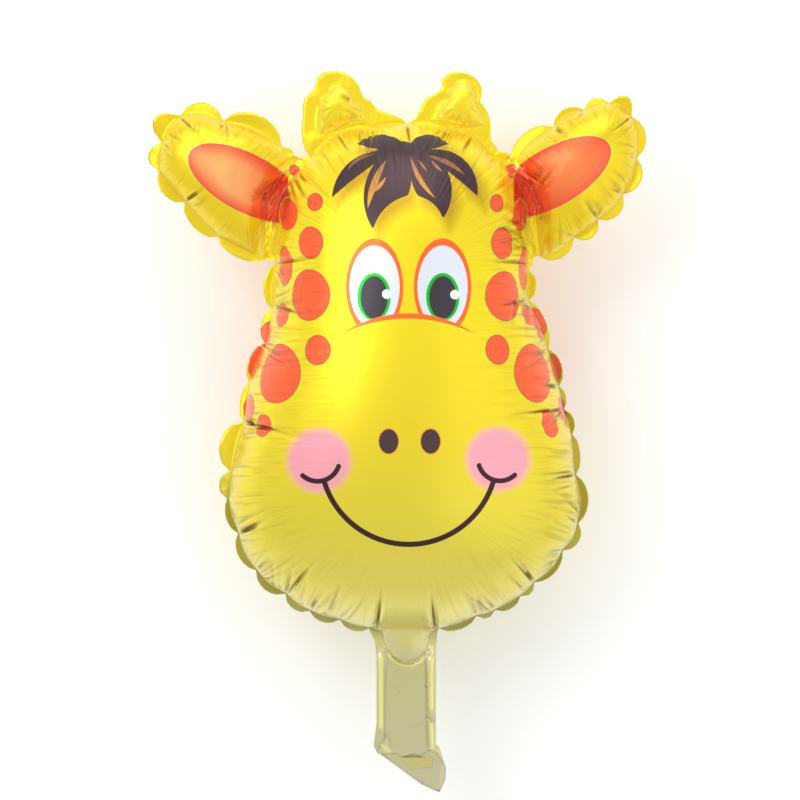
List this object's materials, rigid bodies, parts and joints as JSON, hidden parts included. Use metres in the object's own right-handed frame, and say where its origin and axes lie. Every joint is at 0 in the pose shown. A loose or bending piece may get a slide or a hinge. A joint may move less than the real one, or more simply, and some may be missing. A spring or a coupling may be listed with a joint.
{
  "type": "animal head foil balloon",
  "caption": "Inflated foil balloon in the shape of a giraffe's head, with ears, small horns, a scalloped welded edge and a flat filling neck, lying on its back.",
  "frame": {"origin": "under the middle of the balloon's outline, at the height of the flat spot that it lies on", "axes": "+Z out of the face, +Y towards the horns, +X towards the picture's right"},
  "size_m": [0.2904, 0.42, 0.129],
  "materials": {
    "foil": "satin metallised film",
    "valve": "thin translucent film"
  },
  "bodies": {
    "root": {"foil_balloon": "foil", "valve_film": "valve"}
  },
  "joints": []
}
